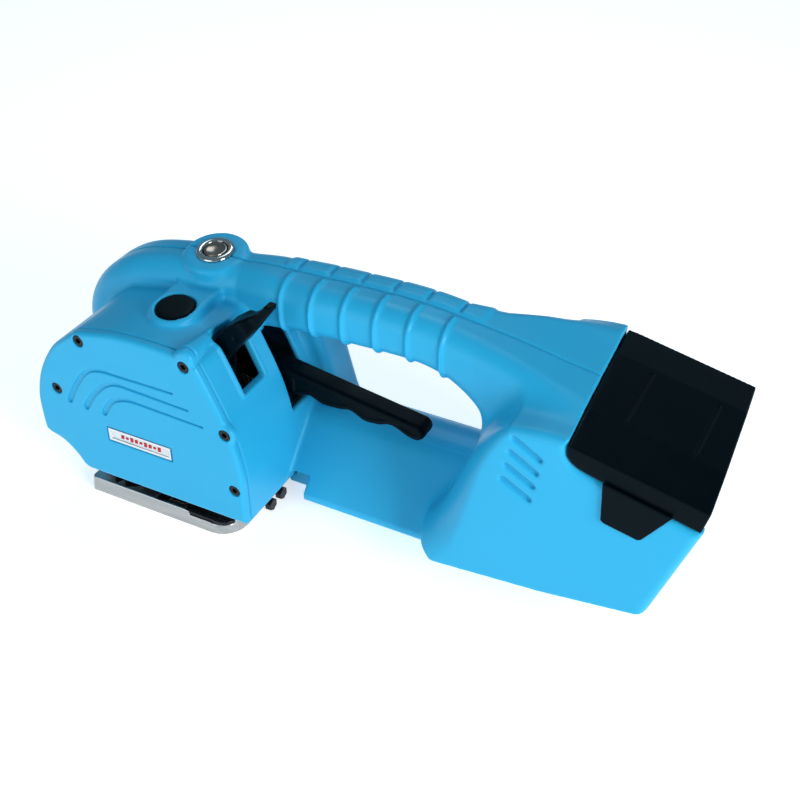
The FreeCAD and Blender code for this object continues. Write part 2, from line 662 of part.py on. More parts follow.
def make_belt():
    """Timing belt: a loop of even thickness round both pulleys."""
    start = Vector(value("pivot_x"), value("pulley_near"), value("axis_z"))
    end = Vector(value("cam_x"), value("pulley_near"), value("cam_z"))
    radius = value("pulley_radius") + value("gap")
    run = end - start
    across = Vector(-run.z, 0, run.x).normalize()

    def loop(size):
        tips = [start + across * size, end + across * size, end - across * size, start - across * size]
        beyond = Vector(run).normalize() * size
        return Part.Face(Part.Wire([
            Part.makeLine(tips[0], tips[1]), Part.Arc(tips[1], end + beyond, tips[2]).toShape(),
            Part.makeLine(tips[2], tips[3]), Part.Arc(tips[3], start - beyond, tips[0]).toShape()]))

    width = Vector(0, value("pulley_width"), 0)
    belt = loop(radius + value("belt_thick")).extrude(width).cut(loop(radius).extrude(width))
    sub_part("timing_belt", [shape_piece("belt_loop", belt)])


LEVER_OUTLINE = [(8, 64), (14, 77.5), (42.5, 72), (109, 61), (113.5, 60), (113.2, 55), (110, 51.6), (104, 52.5),
                 (97, 55.5), (90, 53.6), (82, 53.2), (75, 57), (69, 55.4), (60, 55.6), (53, 59), (46, 57), (40, 57),
                 (30, 60)]


def make_rocker():
    """Rocker arm, black hand lever and the feed wheel at its end."""
    body = body_part("tension_lever")
    sketch = sketch_on(body, "XZ_Plane", "lever_outline", "-lever_far")
    closed_lines(sketch, LEVER_OUTLINE)
    pad(body, sketch, "lever_far - lever_near", "lever_pad")
    arm = shape_piece("arm_outline", polygon_solid(
        [(-4, 26), (-2, 18), (5, 15.5), (26, 12.5), (36, 20), (34, 30), (22, 40), (20, 72), (8, 72), (0, 36)],
        -29, -23.5))
    bridge = block("arm_bridge", (10, 19), (-24, "lever_near"), (64, 71))
    hub_hole = rod("arm_hub_hole", "shaft_radius + fit_gap", 10, ("pivot_x", -31, "axis_z"), "y")
    wheel_hole = rod("arm_wheel_hole", "3 + fit_gap", 10, ("wheel_x", -31, "wheel_z"), "y")
    sub_part("rocker_arm", [cut("arm_cut", join("arm_join", [arm, bridge]), [hub_hole, wheel_hole])])
    wheel = body_part("feed_wheel")
    disc = sketch_on(wheel, "XZ_Plane", "wheel_disc", "-strap_far - 1")
    ring(disc, ("wheel_x", "wheel_z"), "wheel_radius")
    ring(disc, ("wheel_x", "wheel_z"), "3")
    pad(wheel, disc, "strap_far - strap_near - 2", "wheel_pad")
    shaft = rod("feed_shaft_bar", 3, 26, ("wheel_x", -49.5, "wheel_z"), "y")
    key = rod("feed_shaft_head", 5, 1, ("wheel_x", -51.5, "wheel_z"), "y")
    neck = rod("feed_shaft_neck", 3, 2, ("wheel_x", -51, "wheel_z"), "y")
    sub_part("feed_shaft", [join("feed_shaft_join", [shaft, neck, key])])
    coil_outer = rod("spring_outer", 7, 5, (-16, -29, 58), "y")
    coil_hole = rod("spring_hole", 5.4, 7, (-16, -30, 58), "y")
    leg = block("spring_leg", (-10.4, -5.5), (-28, -26), (57, 58.6))
    sub_part("rocker_spring", [join("spring_join", [cut("spring_coil", coil_outer, [coil_hole]), leg])])
    post = rod("spring_post_bar", 5, 9, (-16, -31, 58), "y")
    sub_part("spring_post", [post])


def make_weld_head():
    """Weld gripper with its cutter, above the weld anvil."""
    shoe = block("gripper_shoe", (-44, -24), ("strap_near", "strap_far"), ("plate_thick + 3.6", 30))
    stem = block("gripper_stem", (-40, -24), ("strap_near + 1", "strap_far - 1"), (30, 44))
    teeth = [block(f"gripper_gap{index}", (-43 + 2 * index, -42.2 + 2 * index),
                   ("strap_near - 1", "strap_far + 1"),
                   ("plate_thick + 3", "plate_thick + 4.2")) for index in range(9)]
    sub_part("weld_gripper", [cut("gripper_cut", join("gripper_join", [shoe, stem]), teeth)])
    sub_part("cutter_blade", [shape_piece("blade_outline", polygon_solid(
        [(-24, 12.5), (-22.4, 11.2), (-22, 12.5), (-22, 34), (-24, 34)], -49, -34))])


def make_controls():
    """Tension button, weld button and weld lever with what holds them."""
    bezel = body_part("button_bezel")
    flange = sketch_on(bezel, "XY_Plane", "bezel_flange", "button_top - 1.6")
    ring(flange, ("0", "0"), "bezel_radius")
    ring(flange, ("0", "0"), "cap_radius + gap")
    pad(bezel, flange, "1.6", "bezel_flange_pad")
    thread = sketch_on(bezel, "XY_Plane", "bezel_thread", "button_top - 18")
    ring(thread, ("0", "0"), "barrel_thread")
    ring(thread, ("0", "0"), "cap_radius + gap")
    pad(bezel, thread, "16.4", "bezel_thread_pad")
    cap = rod("cap_disc", "cap_radius", 8, (0, 0, "button_top - 8.4"))
    sub_part("tension_button", [cap])
    switch = rod("switch_can", "cap_radius", 18, (0, 0, "button_top - 28"))
    sub_part("tension_switch", [switch])
    nut = hexagon_bar("nut_bar", 19, 3, (0, 0, "button_top - 10.3"))
    nut_hole = rod("nut_hole", "barrel_thread + 0.02", 5, (0, 0, "button_top - 11.3"))
    sub_part("button_nut", [cut("nut_cut", nut, [nut_hole])])
    sub_part("weld_button", [rod("weld_cap", "weld_button_radius", 10,
                                 (0, "weld_button_y", "weld_button_top - 10"))])
    switch_body = block("weld_switch_body", (-8, 8), ("weld_button_y - 5", "weld_button_y + 5"), (82, 92))
    plunger = rod("weld_switch_plunger", 1.5, 2.5, (0, "weld_button_y", 92))
    sub_part("weld_switch", [join("weld_switch_join", [switch_body, plunger])])
    lever = shape_piece("weld_lever_outline", polygon_solid(
        [(19, 88), (22, 84.5), (26, 85.5), (36, 97), (42, 101), (50, 113), (48.5, 116.5), (43, 114), (34, 110),
         (27, 101.5), (19.5, 92)], -36.5, -31.5))
    paddle = shape_piece("weld_paddle_outline", polygon_solid(
        [(37, 101), (43, 101.5), (52, 114), (49, 118), (42, 114.5), (35, 110)], -39.5, -29))
    hole = rod("weld_lever_hole", "2 + fit_gap", 8, ("weld_pivot_x", -38, "weld_pivot_z"), "y")
    sub_part("weld_lever", [cut("weld_lever_cut", join("weld_lever_join", [lever, paddle]), [hole])])
    pin = rod("weld_pin_bar", 2, 14, ("weld_pivot_x", -41, "weld_pivot_z"), "y")
    sub_part("weld_lever_pin", [pin])
    bracket = [block("bracket_near", (18, 26), (-41.5, -39.5), (80, 93)),
               block("bracket_far", (18, 26), (-29, -27), (80, 93)),
               block("bracket_web", (16, 19), (-41.5, -27), (80, 84))]
    holes = [rod("bracket_hole", 2.02, 20, ("weld_pivot_x", -44, "weld_pivot_z"), "y")]
    sub_part("weld_lever_bracket", [cut("bracket_cut", join("bracket_join", bracket), holes)])


def make_battery():
    """Battery: lid slab, cell box, cells and contacts, drawn level and turned onto its slope."""
    length = value("pack_length")
    side = value("block_side")
    lid = Part.makeBox(length - 0.6, 2 * side, 13.4, Vector(0.3, -side, -11.3))
    lid = lid.makeFillet(3, [edge for edge in lid.Edges
                             if all(vertex.Z > 2 for vertex in edge.Vertexes) or edge.BoundBox.ZLength > 10])
    box_outer = Part.makeBox(80, 74.6, 44.7, Vector(-28, -37.3, -56.3))
    box_inner = Part.makeBox(76, 70.6, 41, Vector(-26, -35.3, -54.3))
    case = box_outer.cut(box_inner)
    rail = Part.makeBox(50, 70, 1.5, Vector(1, -35, -12.4))
    case = case.fuse(rail).removeSplitter()
    sub_part("battery_lid", [shape_piece("lid_slab", tilted(lid.cut(rail)))])
    sub_part("battery_case", [shape_piece("case_box", tilted(case))])
    cells = []
    radius = value("cell_radius")
    for column in range(4):
        for level in range(2):
            centre = Vector(-26 + radius + 0.2 + column * 18.6, -value("cell_length") / 2,
                            -54.1 + radius + level * 18.6)
            cells.append(tilted(Part.makeCylinder(radius, value("cell_length"), centre, Vector(0, 1, 0))))
    sub_part("battery_cells", [shape_piece(f"cell{index}", cell) for index, cell in enumerate(cells)])
    blades = [tilted(Part.makeBox(3, 6, 1, Vector(-31.2, y, -30))) for y in (-15, 9)]
    sub_part("battery_contacts", [shape_piece(f"blade{index}", blade) for index, blade in enumerate(blades)])
    for label, near in (("latch_near", True), ("latch_far", False)):
        y = -side - 3 if near else side + 0.4
        tab = Part.makeBox(14, 2.6, 24, Vector(17, y, -31))
        knuckle = Part.makeCylinder(1.3, 16, Vector(16, y + 1.3, -7.5), Vector(1, 0, 0))
        sub_part(label, [shape_piece(label + "_tab", tilted(tab.fuse(knuckle)))])


def make_electronics():
    sub_part("control_board", [block("board", (62, 124), (-12, 12), (107, 108.6))])
    sub_part("label_plate", [block("label", (-26.7, 8.7),
                                   ("-head_side - cover_thick + 0.2", "-head_side - cover_thick + 1"),
                                   (41.3, 48.2))])
    contact_body = tilted(Part.makeBox(4, 40, 12, Vector(-36, -20, -36)))
    sub_part("contact_block", [shape_piece("contact_body", contact_body)])


make_housing()
make_covers()
make_cover_screws("gear_cover_screws", COVER_SCREWS, "-head_side - cover_thick + 0.6",
                  "-head_side - cover_thick + 3", "-head_side - cover_thick + 0.5")
make_cover_screws("far_cover_screws", FAR_SCREWS, "far_side + far_thick - 2.9",
                  "far_side - 3", "far_side + far_thick - 1.5")
make_base_plate()
make_plate_details()
make_gear_frame()
make_drive()
make_rocker()
make_weld_head()
make_controls()
make_battery()
make_electronics()
doc.recompute()

for thing in doc.Objects:
    if {"Invalid", "Error"} & set(thing.State):
        raise RuntimeError(f"{thing.Label} did not recompute: {thing.State}")
os.makedirs("parts", exist_ok=True)
for part in sub_parts:
    if part.Shape.isNull() or not part.Shape.isValid():
        raise RuntimeError(f"{part.Label} has no valid shape")
    part.Shape.exportStep(f"parts/{part.Label}.step")
    print(part.Label, len(part.Shape.Solids), round(part.Shape.Volume))
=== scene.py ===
"""Battery strapping tool: the looks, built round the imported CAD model.

The moulded shells, levers and battery are shaped as distance fields on a grid, in millimetres from the
tension button's axis (the tool's own origin), then meshed, so that every blend radius is one number.
"""

import json
import math
import bmesh
import bpy
import numpy as np
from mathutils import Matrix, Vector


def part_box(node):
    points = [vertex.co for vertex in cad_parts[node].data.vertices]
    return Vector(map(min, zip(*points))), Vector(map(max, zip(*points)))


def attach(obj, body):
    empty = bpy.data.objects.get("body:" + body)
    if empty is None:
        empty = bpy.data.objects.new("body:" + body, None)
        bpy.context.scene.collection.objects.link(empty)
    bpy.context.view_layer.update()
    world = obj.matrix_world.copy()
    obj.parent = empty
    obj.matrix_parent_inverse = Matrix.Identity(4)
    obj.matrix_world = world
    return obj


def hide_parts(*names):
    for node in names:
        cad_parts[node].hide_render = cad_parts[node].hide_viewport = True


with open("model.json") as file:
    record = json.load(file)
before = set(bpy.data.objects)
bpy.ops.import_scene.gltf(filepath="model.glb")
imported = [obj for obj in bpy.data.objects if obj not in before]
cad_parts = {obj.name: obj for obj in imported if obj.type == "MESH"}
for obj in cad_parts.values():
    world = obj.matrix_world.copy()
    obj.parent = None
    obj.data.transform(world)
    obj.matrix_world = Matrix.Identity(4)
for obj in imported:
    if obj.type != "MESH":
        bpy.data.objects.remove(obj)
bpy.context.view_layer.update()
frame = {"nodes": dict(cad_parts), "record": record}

import openvdb
from mathutils import Matrix, Vector

MM = 0.001
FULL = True
WALL = 3.0
NEAR_FACE = -57
FAR_FACE = 44
BLOCK_HALF = 44
LEVER_MIDDLE = -6
WELD_LEVER_MIDDLE = -33.5
TENSION_BUTTON = (0, 0, 120)
WELD_BUTTON = (0, -33.9, 107.5)
WELD_BUTTON_HOLE = 9.45
BEZEL_HOLE = 8.3
LID_CORNER = (191, 102)
LID_LENGTH = 59.5
LID_SKEW = 0.058
LID_FALL = 0.063
BATTERY_SLOPE = math.radians(8.5)
SEAM_GAP = 0.16
HIDDEN_OVERLAP = 0.9


def middle(node):
    """Middle of a CAD node's box, in metres."""
    low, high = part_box(node)
    return [(low[axis] + high[axis]) / 2 for axis in range(3)]


BUTTON = middle("tension_button")
ORIGIN = Vector((BUTTON[0], BUTTON[1], 0))
LEAN = math.radians(8)


# ------------------------------------------------------------------ distance fields
class Field:
    """A block of space sampled on a regular grid, in millimetres."""

    def __init__(self, low, high, step):
        self.low = np.array(low, dtype=np.float64)
        self.step = step
        counts = [int(math.ceil((b - a) / step)) + 1 for a, b in zip(low, high)]
        axes = [low[i] + step * np.arange(counts[i], dtype=np.float32) for i in range(3)]
        self.x = axes[0][:, None, None]
        self.y = axes[1][None, :, None]
        self.z = axes[2][None, None, :]


def through(points, steps=8):
    """Points of a smooth curve through the given points."""
    p = [np.array(point, dtype=float) for point in points]
    p = [2 * p[0] - p[1]] + p + [2 * p[-1] - p[-2]]
    result = []
    for a, b, c, d in zip(p, p[1:], p[2:], p[3:]):
        for index in range(steps):
            t = index / steps
            result.append(0.5 * (2 * b + (c - a) * t + (2 * a - 5 * b + 4 * c - d) * t * t
                                 + (3 * b - a - 3 * c + d) * t ** 3))
    return result + [p[-2]]


def arc(centre, radius, angles):
    """Points of an arc, at the given angles in degrees."""
    turns = [math.radians(angle) for angle in angles]
    return [(centre[0] + radius * math.cos(turn), centre[1] + radius * math.sin(turn)) for turn in turns]


def outline(points, u, v):
    """Signed distance from a closed outline, on a grid of u by v; negative inside."""
    points = np.array(points, dtype=np.float32)
    best = None
    crossings = None
    for a, b in zip(points, np.roll(points, -1, axis=0)):
        run = b - a
        length = float(run @ run)
        if length < 1e-9:
            continue
        du = u - a[0]
        dv = v - a[1]
        t = np.clip((du * run[0] + dv * run[1]) / length, 0, 1)
        square = (du - t * run[0]) ** 2 + (dv - t * run[1]) ** 2
        best = square if best is None else np.minimum(best, square)
        above = (a[1] > v) != (b[1] > v)
        rise = run[1] if abs(run[1]) > 1e-9 else 1e-9
        cross = above & (u < a[0] + run[0] * (v - a[1]) / rise)
        crossings = cross if crossings is None else crossings ^ cross
    return np.where(crossings, -1, 1) * np.sqrt(best)


def meet(a, b, radius):
    """The space inside both fields, its edge rounded by a radius."""
    inside = np.minimum(np.maximum(a + radius, b + radius), 0)
    outside = np.sqrt(np.maximum(a + radius, 0) ** 2 + np.maximum(b + radius, 0) ** 2)
    return inside + outside - radius


def blend(a, b, radius):
    """The union of two fields, with a fillet between them."""
    share = np.clip(0.5 + 0.5 * (b - a) / radius, 0, 1)
    return b * (1 - share) + a * share - radius * share * (1 - share)


def carve(a, b, radius):
    """The first field less the second, the rim rounded by a radius."""
    return meet(a, -b, radius)


def bar(u, v, start, end, half_start, half_end=None):
    """A bar with round ends between two points, its half width changing evenly."""
    run = (end[0] - start[0], end[1] - start[1])
    t = np.clip(((u - start[0]) * run[0] + (v - start[1]) * run[1]) / (run[0] ** 2 + run[1] ** 2), 0, 1)
    half = half_start + ((half_start if half_end is None else half_end) - half_start) * t
    return np.sqrt((u - start[0] - t * run[0]) ** 2 + (v - start[1] - t * run[1]) ** 2) - half


def chain(u, v, points, half_start, half_end):
    """Bars end to end, tapering from the first point to the last."""
    best = None
    count = len(points) - 1
    for index, (a, b) in enumerate(zip(points, points[1:])):
        begin = half_start + (half_end - half_start) * index / count
        finish = half_start + (half_end - half_start) * (index + 1) / count
        piece = bar(u, v, a, b, begin, finish)
        best = piece if best is None else np.minimum(best, piece)
    return best


def leaning(field, centre):
    """Coordinates across and along an axis that leans toward the near side."""
    dy = field.y - centre[1]
    dz = field.z - centre[2]
    return math.cos(LEAN) * dy + math.sin(LEAN) * dz, math.cos(LEAN) * dz - math.sin(LEAN) * dy


def across(position, centre, half):
    """A slab of given half thickness."""
    return np.abs(position - centre) - half


def disc(u, v, centre, radius):
    """A round field about a centre."""
    return np.sqrt((u - centre[0]) ** 2 + (v - centre[1]) ** 2) - radius


def step_between(position, start, end):
    """Smooth ramp from 0 at the start to 1 at the end."""
    t = np.clip((position - start) / (end - start), 0, 1)
    return t * t * (3 - 2 * t)


def mesh_of(name, field, distance):
    """A mesh object of the surface where a field is zero."""
    grid = openvdb.FloatGrid()
    grid.background = 3.0
    grid.copyFromArray(np.ascontiguousarray(np.clip(distance, -3, 3).astype(np.float32)))
    points, quads = grid.convertToQuads(0.0)
    mesh = bpy.data.meshes.new(name)
    mesh.vertices.add(len(points))
    places = (points * field.step + field.low) * MM + np.array(ORIGIN)
    mesh.vertices.foreach_set("co", places.astype(np.float32).ravel())
    mesh.loops.add(quads.size)
    mesh.loops.foreach_set("vertex_index", quads[:, ::-1].astype(np.int32).ravel())
    mesh.polygons.add(len(quads))
    mesh.polygons.foreach_set("loop_start", np.arange(0, quads.size, 4, dtype=np.int32))
    mesh.update(calc_edges=True)
    mesh.validate()
    mesh.polygons.foreach_set("use_smooth", np.ones(len(mesh.polygons), dtype=bool))
    piece = bpy.data.objects.new(name, mesh)
    bpy.context.collection.objects.link(piece)
    return piece


def turned(name, profile, centre, lean, closed=False):
    """A turned piece from (radius, height) points; the axis leans toward the near side."""
    segments = 96
    build = bmesh.new()
    rings = []
    turn = Matrix.Rotation(lean, 3, "X")
    for radius, height in profile:
        ring = []
        for index in range(segments if radius > 0 else 1):
            angle = 2 * math.pi * index / segments
            place = turn @ Vector((radius * math.cos(angle), radius * math.sin(angle), height))
            ring.append(build.verts.new((place + Vector(centre)) * MM + ORIGIN))
        rings.append(ring)
    pairs = list(zip(rings, rings[1:])) + ([(rings[-1], rings[0])] if closed else [])
    for a, b in pairs:
        for index in range(segments):
            after = (index + 1) % segments
            corners = [a[index % len(a)], a[after % len(a)], b[after % len(b)], b[index % len(b)]]
            corners = [corner for place, corner in enumerate(corners) if corner not in corners[:place]]
            if len(corners) > 2:
                build.faces.new(corners)
    bmesh.ops.recalc_face_normals(build, faces=build.faces)
    mesh = bpy.data.meshes.new(name)
    build.to_mesh(mesh)
    build.free()
    for face in mesh.polygons:
        face.use_smooth = True
    mesh.set_sharp_from_angle(angle=math.radians(40))
    piece = bpy.data.objects.new(name, mesh)
    bpy.context.collection.objects.link(piece)
    return piece


def place_piece(piece, body, slot, node=None, material=None):
    """Parents a new piece to its body, paints it with the given material or else the one named after its
    slot, and hides the CAD node it stands for.
    """
    if node is not None:
        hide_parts(node)
    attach(piece, body)
    paint(piece, material or slot)


# ------------------------------------------------------------------ the housing's outlines, (x, z)
HEAD_OUTLINE = (
    through([(47.8, 17), (47.7, 30), (47.2, 46), (43.6, 63.2), (38.6, 77), (29.6, 96.5)])
    + through([(28.2, 98.8), (23.4, 101.3), (17.9, 102.8), (1.6, 103.6), (-16.7, 102.6), (-34, 99)])
    + through([(-38, 97.6), (-45, 92.6), (-53.6, 84.6), (-62.2, 70.6), (-66.8, 56), (-67.4, 44),
               (-66.8, 33.8)])
    + through([(-64, 32), (-56.5, 29.5), (-50, 24), (-46, 18.6), (-42.7, 17)])
)
HUMP_TOP = [(-70, 50), (-73, 66), (-71.5, 79), (-65, 91.5), (-54, 102.4), (-38, 110.8), (-14, 115.8),
            (12, 117.4)]
HANDLE_TOP = [(12, 117.4), (30, 119.6), (45, 120), (76, 121.1), (105, 121.3), (133, 118.2), (161, 114.0),
              (192, 107)]
HANDLE_UNDER = [(145, 60), (144, 73), (140, 83), (131, 90.6), (119, 95.6), (105, 97.4), (76, 96.6),
                (52, 95.4)]
RIDGE_OUTLINE = (through(HUMP_TOP)[:-1] + through(HANDLE_TOP) + [(192, 60)] + through(HANDLE_UNDER)
                 + [(36, 92), (20, 80), (-60, 50)])
BLOCK_OUTLINE = (
    through([(126, 0), (119.3, 6), (116.2, 13.5), (118.3, 22), (123.2, 29.3), (129.8, 37.5), (135.2, 48.7),
             (140.5, 63), (148.5, 82), (159, 97), (165, 103.2)])
    + through([(166, 103.6), (178, 105.4), (191, 106.2)]) + [(191, 101)]
    + through([(191.2, 100), (193.4, 96), (198.6, 92.6), (207.5, 90.6)]) + [(247.8, 80)]
    + [(231, 30), (223, 0)]
)
RIB_PLACES = [43.8 + 15.9 * index for index in range(6)]
SCREW_PLACES = [(-35.5, 94), (-54, 62), (22, 98), (40, 67), (42.5, 36)]


def ridge_side(x, y):
    """Distance past the hump's and handle's side: a neck behind the button, a flare into the rear block."""
    stations = [-90, -60, -14, 0, 18, 36, 55, 125, 140, 155, 170, 200]
    near = np.interp(x, stations, [14.5, 15.5, 15.5, 15, 12.2, 15.2, 16.8, 17, 18.5, 21, 24, 30])
    far = np.interp(x, stations, [14.5, 15.5, 15.5, 15, 14.6, 15.8, 16.8, 17, 21.5, 30, 37, 43])
    return np.maximum(-y - near.astype(np.float32), y - far.astype(np.float32))


def keel_depth(x, y):
    """Height of the rear block's underside: a shallow hull, its side edges rising toward the rear."""
    edge = np.interp(x, [112, 120, 126, 133, 185, 232, 250], [32, 26, 21.5, 17.5, 22, 28.6, 31])
    edge = edge.astype(np.float32)
    flat = np.interp(x, [126, 232], [0, 9]).astype(np.float32)
    return np.maximum(edge - 0.64 * (BLOCK_HALF - np.abs(y)), flat)


def housing_field(field):
    """The whole outside of the moulded housing."""
    x, y, z = field.x, field.y, field.z
    head = meet(outline(HEAD_OUTLINE, x, z), NEAR_FACE - y, 0.6)
    far_slope = outline([(-90, -20), (-90, 150), (17, 150), (17, 106), (22, 98), (33, 85), (FAR_FACE, 66),
                         (FAR_FACE, -20)], y, z)
    head = meet(head, far_slope, 9)
    side = ridge_side(x, y)
    ridge = meet(outline(RIDGE_OUTLINE, x, z), side, 10)
    near_side = step_between(-y, 1.6, 3.4)
    far_side = step_between(y, 1.2, 2.6)
    plates = 0.9 * far_side * step_between(x, 36, 37.5) * (1 - step_between(x, 133, 136))
    grip = step_between(z, 88, 96)
    for place in RIB_PLACES:
        bead = np.exp(-((x - place) / 1.05) ** 2)
        ridge = ridge - 1.35 * bead * near_side * grip
        plates = plates - 1.3 * far_side * np.exp(-((x - place) / 0.8) ** 2)
    ridge = ridge - plates * grip
    body = blend(head, ridge, 3)
    lean_y, lean_z = leaning(field, TENSION_BUTTON)
    pad = meet(disc(x, lean_y, (0, 0), 15.6), np.abs(lean_z + 12.65) - 11, 2.4)
    body = blend(body, pad, 1.6)
    keel = np.maximum(np.abs(y) - BLOCK_HALF, (keel_depth(x, y) - z) * 0.84)
    corner = 4 + 13 * (1 - step_between(x, 138, 166))
    shoulder = step_between(y, 12, 40) * step_between(z, 80, 100) * (1 - step_between(x, 184, 196))
    raised = z - 2.5 * shoulder
    squared = x + LID_SKEW * (y + BLOCK_HALF) * step_between(x, 196, 236)
    block = meet(outline(BLOCK_OUTLINE, squared, raised), keel, corner)
    body = blend(body, block, 9)
    section = [(-29, 15.5), (-29, 12.5), (-20, 4.4), (38, 4.4), (46, 14)]
    section = section + arc((10, 26), 21.5, range(35, 140, 8))
    barrel = meet(outline(section, y, z), across(x, 90, 50), 1)
    skirt = np.maximum(x - 58.5, np.maximum(z - 22, y + 12))
    barrel = np.maximum(barrel, -skirt)
    body = blend(body, barrel, 3)
    root = meet(outline([(36, 40), (59, 40), (52, 66), (46, 84), (36, 99)], x, z), across(y, 20, 11), 4)
    body = blend(body, root, 6)
    collar_y, collar_z = leaning(field, WELD_BUTTON)
    step_back = np.maximum(across(x, 0, 11.8), across(collar_y, 12, 12))
    island = np.minimum(disc(x, collar_y, (0, 0), 12.2), step_back)
    collar = meet(island, np.abs(collar_z + 9.9 + 0.1 * np.maximum(collar_y, 0)) - 10, 1.8)
    body = blend(body, collar, 2.2)
    boss = meet(disc(x, z, (22.2, 102), 4.9 - 0.13 * (y + 57)), np.abs(y + 41) - 16, 0.8)
    body = blend(body, boss, 0.5)
    rim_flat = outline([(25.5, 106.4), (32.4, 106.4), (43.4, 75.4), (20, 75.4)], x, z)
    rim = meet(rim_flat, across(y, WELD_LEVER_MIDDLE, 10.4), 2)
    return np.minimum(body, np.maximum(rim, outline(HEAD_OUTLINE, x, z) - 1.1))


def vents(field):
    """Four slanting vent slots on each side of the rear block."""
    best = None
    for index in range(4):
        start = (168.5 - 1.25 * index, 99.6 - 7.4 * index)
        end = (179.8 - 1.1 * index, 92.6 - 7.3 * index)
        slot = bar(field.x, field.z, start, end, 1.35)
        best = slot if best is None else np.minimum(best, slot)
    return np.maximum(best, 42.2 - np.abs(field.y))


def make_housing():
    """The two half shells, hollow, with their slots, holes, vents and battery bay cut through."""
    field = Field((-86, -60, -3), (254, 52, 126), 1.6 if not FULL else 0.75)
    x, y, z = field.x, field.y, field.z
    body = housing_field(field)
    shell = np.maximum(body, -body - WALL)
    lean_y = leaning(field, TENSION_BUTTON)[0]
    shell = np.maximum(shell, -np.maximum(disc(x, lean_y, (0, 0), BEZEL_HOLE), 100 - z))
    collar_y = leaning(field, WELD_BUTTON)[0]
    shell = np.maximum(shell, -np.maximum(disc(x, collar_y, (0, 0), WELD_BUTTON_HOLE), 92 - z))
    weld_flat = outline([(22, 105.4), (31.4, 105.4), (44, 76.6), (22, 76.6)], x, z)
    shell = carve(shell, meet(weld_flat, across(y, WELD_LEVER_MIDDLE, 8.4), 1), 0.6)
    lever_flat = outline([(30, 94), (42, 94), (47, 84), (60, 66), (60, 51), (30, 51)], x, z)
    shell = carve(shell, meet(lever_flat, across(y, LEVER_MIDDLE, 7.8), 1.5), 0.8)
    under = meet(across(x, -1, 45), meet(across(y, -6.5, 47.5), across(z, 16, 6), 1), 1)
    shell = np.maximum(shell, -under)
    shell = carve(shell, vents(field), 0.4)
    shell = np.maximum(shell, -bay(field))
    # The halves overlap low down and part in a fine seam along the handle.
    open_seam = step_between(z, 92, 98)
    near_edge = y - HIDDEN_OVERLAP + (HIDDEN_OVERLAP + SEAM_GAP) * open_seam
    near = mesh_of("housing_near_shell", field, np.maximum(shell, near_edge))
    far = mesh_of("housing_far_shell", field, np.maximum(shell, SEAM_GAP * open_seam - y))
    place_piece(near, "root", "blue_shell", "housing_near")
    place_piece(far, "root", "blue_shell", "housing_far")


def downhill(field):
    """Coordinates along and above the battery's slide, from the lid's top front edge."""
    dx = field.x - LID_CORNER[0]
    dz = field.z - LID_CORNER[1]
    cosine = math.cos(BATTERY_SLOPE)
    sine = math.sin(BATTERY_SLOPE)
    return dx * cosine - dz * sine, dx * sine + dz * cosine


def bay(field):
    """Room for the battery inside the rear block, and for its lid on top."""
    along, rise = downhill(field)
    case = np.maximum(np.maximum(-28.6 - along, np.abs(field.y) - 37.7), across(rise, -34, 23))
    return np.minimum(case, lid_side(field, along, rise) - 0.35)


def lid_side(field, along, rise):
    """The lid from the side; its front edge runs forward toward the far side."""
    forward = along + LID_SKEW * (field.y + BLOCK_HALF)
    side = [(-0.4, 12), (-0.4, 0.4), (0.4, -3.4), (2.6, -5.6), (5.6, -7.0), (8.8, -7.6), (18, -8.6),
            (58.2, -12.3), (59.2, -1.6), (59.6, 12)]
    return outline(side, forward, rise)


# ------------------------------------------------------------------ covers, plate, levers, battery
GROOVES = [
    [(-47.1, 57.5), (-41.2, 68.2), (-33.5, 78), (-26.1, 81), (-17, 81.3), (14.3, 81.6)],
    [(-37.6, 56.7), (-31.1, 66.4), (-24.1, 73.2), (-17.5, 76), (-8.5, 75.9), (21.7, 74.7)],
    [(-27.1, 56.8), (-22.3, 64.2), (-17.2, 67.6), (-11.4, 69), (-2.4, 68.9), (28.8, 67.8)],
]
FAR_OUTLINE = [(-42, 21), (36, 21), (41, 26), (41, 56), (34, 63), (-48, 63), (-57, 54), (-57, 36), (-50, 27)]
FAR_SCREWS = [(-50, 56), (-44, 30), (34, 56), (36, 28)]


def box_field(u, v, low, high):
    """A rectangle's signed distance."""
    du = np.abs(u - (low[0] + high[0]) / 2) - (high[0] - low[0]) / 2
    dv = np.abs(v - (low[1] + high[1]) / 2) - (high[1] - low[1]) / 2
    return np.minimum(np.maximum(du, dv), 0) + np.sqrt(np.maximum(du, 0) ** 2 + np.maximum(dv, 0) ** 2)


def make_gear_cover():
    """Near side cover: rolled rim, three tapering grooves, label recess and sunk screws."""
    field = Field((-70, -63, 14), (50, -55, 106), 0.42 if FULL else 1.2)
    x, y, z = field.x, field.y, field.z
    flat = outline(HEAD_OUTLINE, x, z)
    for place, radius in (((40, 67), 4.9), ((42.5, 36), 4.9), ((22.2, 101.4), 4.9)):
        flat = blend(flat, disc(x, z, place, radius), 2)
    flat = np.maximum(flat, x - 47.6)
    plate = np.maximum(meet(flat, -61.45 - y, 2.4), y + 57.15)
    for line in GROOVES:
        cut = chain(x, z, through(line, 5), 1.5, 0.5)
        plate = carve(plate, np.maximum(cut, y + 60.4), 0.2)
    recess = np.maximum(box_field(x, z, (-27.4, 40.6), (9.4, 48.9)), y + 60.2)
    plate = carve(plate, recess, 0.3)
    for place in SCREW_PLACES:
        plate = carve(plate, np.maximum(disc(x, z, place, 3.0), y + 58.2), 0.35)
        plate = np.maximum(plate, -disc(x, z, place, 1.9))
    place_piece(mesh_of("gear_cover_shell", field, plate), "root", "blue_shell", "gear_cover")


